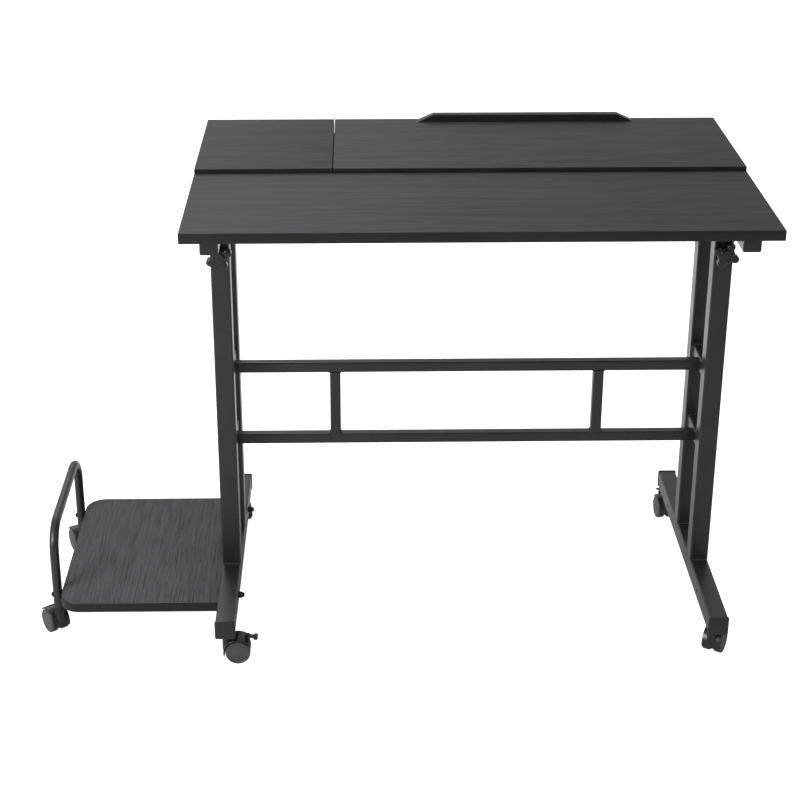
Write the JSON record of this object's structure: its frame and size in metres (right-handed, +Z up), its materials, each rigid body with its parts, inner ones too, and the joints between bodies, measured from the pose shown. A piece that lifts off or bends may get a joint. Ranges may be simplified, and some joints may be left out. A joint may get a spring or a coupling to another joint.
{
  "type": "rolling drafting table",
  "caption": "Height-adjustable rolling drafting desk: fixed near board, tilting board with paper ledge, telescoping H frames, low guarded side shelf and casters.",
  "frame": {"origin": "on the floor, at the middle of the whole object's footprint, desk at its lowest setting and board flat", "axes": "+Z up; +X along the long side, away from the side shelf; +Y from the fixed near board towards the tilting board's paper ledge"},
  "size_m": [1.055, 0.5036, 0.7185],
  "materials": {
    "black_laminate": "melamine faced board, fine embossed grain",
    "black_powder_coat": "satin powder coat",
    "black_plastic": "moulded, fine texture",
    "wheel_nylon": "moulded nylon, satin",
    "zinc_steel": "zinc plated or blackened",
    "bumper_rubber": "matt",
    "fibreboard": "plain, painted black"
  },
  "bodies": {
    "base": {"caster_sockets": "black_plastic", "caster_stems": "zinc_steel", "cpu_shelf": "black_laminate", "cross_tubes": "black_powder_coat", "foot_end_caps": "black_plastic", "guard_screws": "zinc_steel", "guide_collars": "black_plastic", "knob_nuts": "black_powder_coat", "left_foot": "black_powder_coat", "left_front_upright": "black_powder_coat", "left_rear_upright": "black_powder_coat", "right_foot": "black_powder_coat", "right_front_upright": "black_powder_coat", "right_rear_upright": "black_powder_coat", "shelf_bolts": "zinc_steel", "shelf_guard": "black_powder_coat", "stretcher_bolts": "zinc_steel", "stretcher_bottom_rail": "black_powder_coat", "stretcher_struts": "black_powder_coat", "stretcher_top_rail": "black_powder_coat"},
    "top": {"bumper_pads": "bumper_rubber", "far_cross_bar": "black_powder_coat", "front_board": "black_laminate", "hinge_fixed_leaves": "zinc_steel", "hinge_pins": "zinc_steel", "left_front_leg": "black_powder_coat", "left_rail": "black_powder_coat", "left_rear_leg": "black_powder_coat", "mid_cross_bar": "black_powder_coat", "rail_end_caps": "black_plastic", "rear_left_board": "black_laminate", "right_front_leg": "black_powder_coat", "right_rail": "black_powder_coat", "right_rear_leg": "black_powder_coat", "spacer_strips": "fibreboard", "top_screws": "zinc_steel"},
    "tilting_board": {"hinge_moving_leaves": "zinc_steel", "paper_ledge": "black_laminate", "tilt_board": "black_laminate", "tilt_screws": "zinc_steel"},
    "caster_front_left_brake": {"caster_front_left_brake": "black_plastic"},
    "caster_front_left_swivel": {"caster_front_left_housing": "black_plastic"},
    "caster_front_left_wheels": {"caster_front_left_wheels": "wheel_nylon"},
    "caster_front_right_brake": {"caster_front_right_brake": "black_plastic"},
    "caster_front_right_swivel": {"caster_front_right_housing": "black_plastic"},
    "caster_front_right_wheels": {"caster_front_right_wheels": "wheel_nylon"},
    "caster_rear_left_brake": {"caster_rear_left_brake": "black_plastic"},
    "caster_rear_left_swivel": {"caster_rear_left_housing": "black_plastic"},
    "caster_rear_left_wheels": {"caster_rear_left_wheels": "wheel_nylon"},
    "caster_rear_right_brake": {"caster_rear_right_brake": "black_plastic"},
    "caster_rear_right_swivel": {"caster_rear_right_housing": "black_plastic"},
    "caster_rear_right_wheels": {"caster_rear_right_wheels": "wheel_nylon"},
    "caster_shelf_front_swivel": {"caster_shelf_front_housing": "black_plastic"},
    "caster_shelf_front_wheels": {"caster_shelf_front_wheels": "wheel_nylon"},
    "caster_shelf_rear_swivel": {"caster_shelf_rear_housing": "black_plastic"},
    "caster_shelf_rear_wheels": {"caster_shelf_rear_wheels": "wheel_nylon"},
    "knob_front_left": {"knob_front_left": "black_plastic"},
    "knob_front_right": {"knob_front_right": "black_plastic"},
    "knob_rear_left": {"knob_rear_left": "black_plastic"},
    "knob_rear_right": {"knob_rear_right": "black_plastic"}
  },
  "joints": [
    {"name": "height", "type": "slide", "parent": "base", "child": "top", "axis": [0, 0, 1], "range_m": [0, 0.38]},
    {"name": "board_tilt", "type": "hinge", "parent": "top", "child": "tilting_board", "pos_m": [0.22771, 0.2272, 0.68825], "axis": [-1, 0, 0], "range_deg": [0, 60]},
    {"name": "knob_front_left_turn", "type": "hinge", "parent": "base", "child": "knob_front_left", "pos_m": [-0.23504, -0.0658, 0.6], "axis": [0, -1, 0], "range_deg": [0, 360]},
    {"name": "knob_front_right_turn", "type": "hinge", "parent": "base", "child": "knob_front_right", "pos_m": [0.48996, -0.0658, 0.6], "axis": [0, -1, 0], "range_deg": [0, 360]},
    {"name": "knob_rear_left_turn", "type": "hinge", "parent": "base", "child": "knob_rear_left", "pos_m": [-0.23504, 0.0742, 0.6], "axis": [0, 1, 0], "range_deg": [0, 360]},
    {"name": "knob_rear_right_turn", "type": "hinge", "parent": "base", "child": "knob_rear_right", "pos_m": [0.48996, 0.0742, 0.6], "axis": [0, 1, 0], "range_deg": [0, 360]},
    {"name": "caster_front_left_swivel_turn", "type": "hinge", "parent": "base", "child": "caster_front_left_swivel", "pos_m": [-0.23504, -0.1943, 0.045], "axis": [0, 0, 1], "continuous": true},
    {"name": "caster_front_left_roll", "type": "hinge", "parent": "caster_front_left_swivel", "child": "caster_front_left_wheels", "pos_m": [-0.21904, -0.1943, 0.0185], "axis": [0, 1, 0], "continuous": true},
    {"name": "caster_front_left_brake_press", "type": "hinge", "parent": "caster_front_left_swivel", "child": "caster_front_left_brake", "pos_m": [-0.20404, -0.1943, 0.0385], "axis": [0, 1, 0], "range_deg": [0, 16]},
    {"name": "caster_front_right_swivel_turn", "type": "hinge", "parent": "base", "child": "caster_front_right_swivel", "pos_m": [0.48996, -0.1943, 0.045], "axis": [0, 0, 1], "continuous": true},
    {"name": "caster_front_right_roll", "type": "hinge", "parent": "caster_front_right_swivel", "child": "caster_front_right_wheels", "pos_m": [0.49771, -0.18031, 0.0185], "axis": [-0.8746, 0.4848, 0], "continuous": true},
    {"name": "caster_front_right_brake_press", "type": "hinge", "parent": "caster_front_right_swivel", "child": "caster_front_right_brake", "pos_m": [0.50499, -0.16719, 0.0385], "axis": [-0.8746, 0.4848, 0], "range_deg": [0, 16]},
    {"name": "caster_rear_left_swivel_turn", "type": "hinge", "parent": "base", "child": "caster_rear_left_swivel", "pos_m": [-0.23504, 0.2057, 0.045], "axis": [0, 0, 1], "continuous": true},
    {"name": "caster_rear_left_roll", "type": "hinge", "parent": "caster_rear_left_swivel", "child": "caster_rear_left_wheels", "pos_m": [-0.24052, 0.22073, 0.0185], "axis": [-0.9397, -0.342, 0], "continuous": true},
    {"name": "caster_rear_left_brake_press", "type": "hinge", "parent": "caster_rear_left_swivel", "child": "caster_rear_left_brake", "pos_m": [-0.24565, 0.23483, 0.0385], "axis": [-0.9397, -0.342, 0], "range_deg": [0, 16]},
    {"name": "caster_rear_right_swivel_turn", "type": "hinge", "parent": "base", "child": "caster_rear_right_swivel", "pos_m": [0.48996, 0.2057, 0.045], "axis": [0, 0, 1], "continuous": true},
    {"name": "caster_rear_right_roll", "type": "hinge", "parent": "caster_rear_right_swivel", "child": "caster_rear_right_wheels", "pos_m": [0.48829, 0.22161, 0.0185], "axis": [-0.9945, -0.1045, 0], "continuous": true},
    {"name": "caster_rear_right_brake_press", "type": "hinge", "parent": "caster_rear_right_swivel", "child": "caster_rear_right_brake", "pos_m": [0.48672, 0.23653, 0.0385], "axis": [-0.9945, -0.1045, 0], "range_deg": [0, 16]},
    {"name": "caster_shelf_front_swivel_turn", "type": "hinge", "parent": "base", "child": "caster_shelf_front_swivel", "pos_m": [-0.49604, -0.1218, 0.045], "axis": [0, 0, 1], "continuous": true},
    {"name": "caster_shelf_front_roll", "type": "hinge", "parent": "caster_shelf_front_swivel", "child": "caster_shelf_front_wheels", "pos_m": [-0.50545, -0.10886, 0.0185], "axis": [-0.809, -0.5878, 0], "continuous": true},
    {"name": "caster_shelf_rear_swivel_turn", "type": "hinge", "parent": "base", "child": "caster_shelf_rear_swivel", "pos_m": [-0.49604, 0.1182, 0.045], "axis": [0, 0, 1], "continuous": true},
    {"name": "caster_shelf_rear_roll", "type": "hinge", "parent": "caster_shelf_rear_swivel", "child": "caster_shelf_rear_wheels", "pos_m": [-0.50331, 0.13245, 0.0185], "axis": [-0.891, -0.454, 0], "continuous": true}
  ]
}
